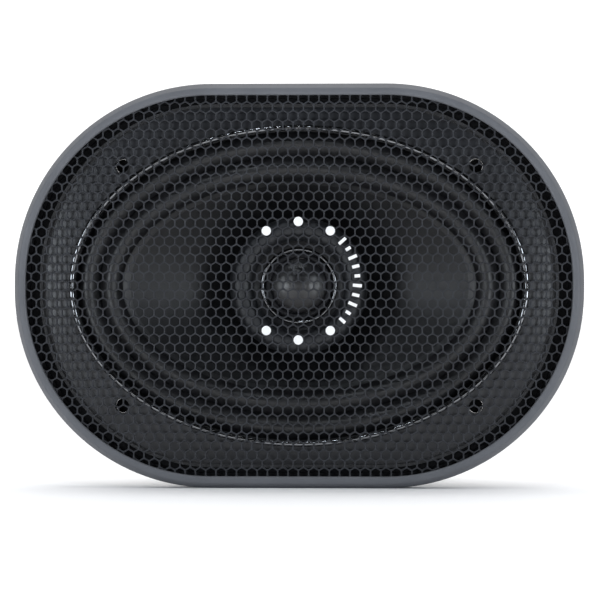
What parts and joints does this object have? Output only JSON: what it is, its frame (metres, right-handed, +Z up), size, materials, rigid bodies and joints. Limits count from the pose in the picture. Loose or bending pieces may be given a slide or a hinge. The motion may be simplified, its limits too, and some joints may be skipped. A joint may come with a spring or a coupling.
{
  "type": "coaxial car speaker",
  "caption": "Oval coaxial car speaker with a perforated pull-off grille, a roll-surround cone in a windowed steel basket, a ferrite motor and a dome tweeter on a centre post.",
  "frame": {"origin": "on the driver's axis in the plane where the mounting ring meets the panel", "axes": "+X along the oval's long axis, +Z up along its short axis, and -Y towards the listener, so the grille is at -Y and the magnet at +Y"},
  "size_m": [0.26, 0.089, 0.1844],
  "materials": {
    "bezel_grey": "satin moulded grey",
    "mesh_paint": "dark grey powder coat",
    "trim_grey": "fine matt",
    "badge_white": "matt white",
    "black_plastic": "fine matt",
    "basket_paint": "black powder coat",
    "gasket_grey": "satin",
    "surround_rubber": "soft sheen",
    "cone_black": "satin with a fine grain",
    "spider_cloth": "woven, resin-coated",
    "former_film": "amber film",
    "coil_copper": "enamelled copper winding",
    "steel": "zinc plate",
    "ferrite": "ground dark ceramic",
    "boot_rubber": "moulded rubber",
    "board_brown": "pressed laminate",
    "tab_brass": "tinned brass",
    "capacitor_sleeve": "shrink sleeve",
    "tinsel_braid": "braided tinsel",
    "wire_black": "insulated wire",
    "post_aluminium": "turned",
    "face_gloss": "gloss black",
    "magnet_nickel": "nickel plate",
    "dome_silk": "coated silk"
  },
  "bodies": {
    "chassis": {"mounting_ring": "black_plastic", "basket": "basket_paint", "front_gasket": "gasket_grey", "surround": "surround_rubber", "spider": "spider_cloth", "tinsel_leads": "tinsel_braid", "top_plate": "steel", "ferrite_magnet": "ferrite", "yoke": "steel", "magnet_boot": "boot_rubber", "basket_rivets": "steel", "terminal_board": "board_brown", "positive_tab": "tab_brass", "negative_tab": "tab_brass", "terminal_rivets": "tab_brass", "crossover_capacitor": "capacitor_sleeve", "tweeter_wires": "wire_black", "tweeter_post": "post_aluminium", "post_nut": "steel", "tweeter_housing": "black_plastic", "tweeter_faceplate": "face_gloss", "tweeter_yoke": "steel", "tweeter_magnet": "magnet_nickel", "tweeter_top_plate": "steel", "tweeter_surround": "dome_silk"},
    "cone_assembly": {"cone": "cone_black", "voice_coil_former": "former_film", "voice_coil": "coil_copper"},
    "tweeter_diaphragm": {"tweeter_dome": "dome_silk", "tweeter_voice_coil": "coil_copper"},
    "grille": {"grille_bezel": "bezel_grey", "grille_mesh": "mesh_paint", "grille_trim_ring": "trim_grey", "badge_dots": "badge_white", "badge_bars": "badge_white"}
  },
  "joints": [
    {"name": "cone_travel", "type": "slide", "parent": "chassis", "child": "cone_assembly", "axis": [0, -1, 0], "range_m": [-0.006, 0.006], "stiffness_N_per_m": 2000, "deforming": ["surround", "spider", "tinsel_leads"]},
    {"name": "tweeter_dome_travel", "type": "slide", "parent": "chassis", "child": "tweeter_diaphragm", "axis": [0, -1, 0], "range_m": [-0.0003, 0.0003], "stiffness_N_per_m": 2000, "deforming": ["tweeter_surround"]},
    {"name": "grille_pull_off", "type": "slide", "parent": "chassis", "child": "grille", "axis": [0, -1, 0], "range_m": [0, 0.08]}
  ]
}
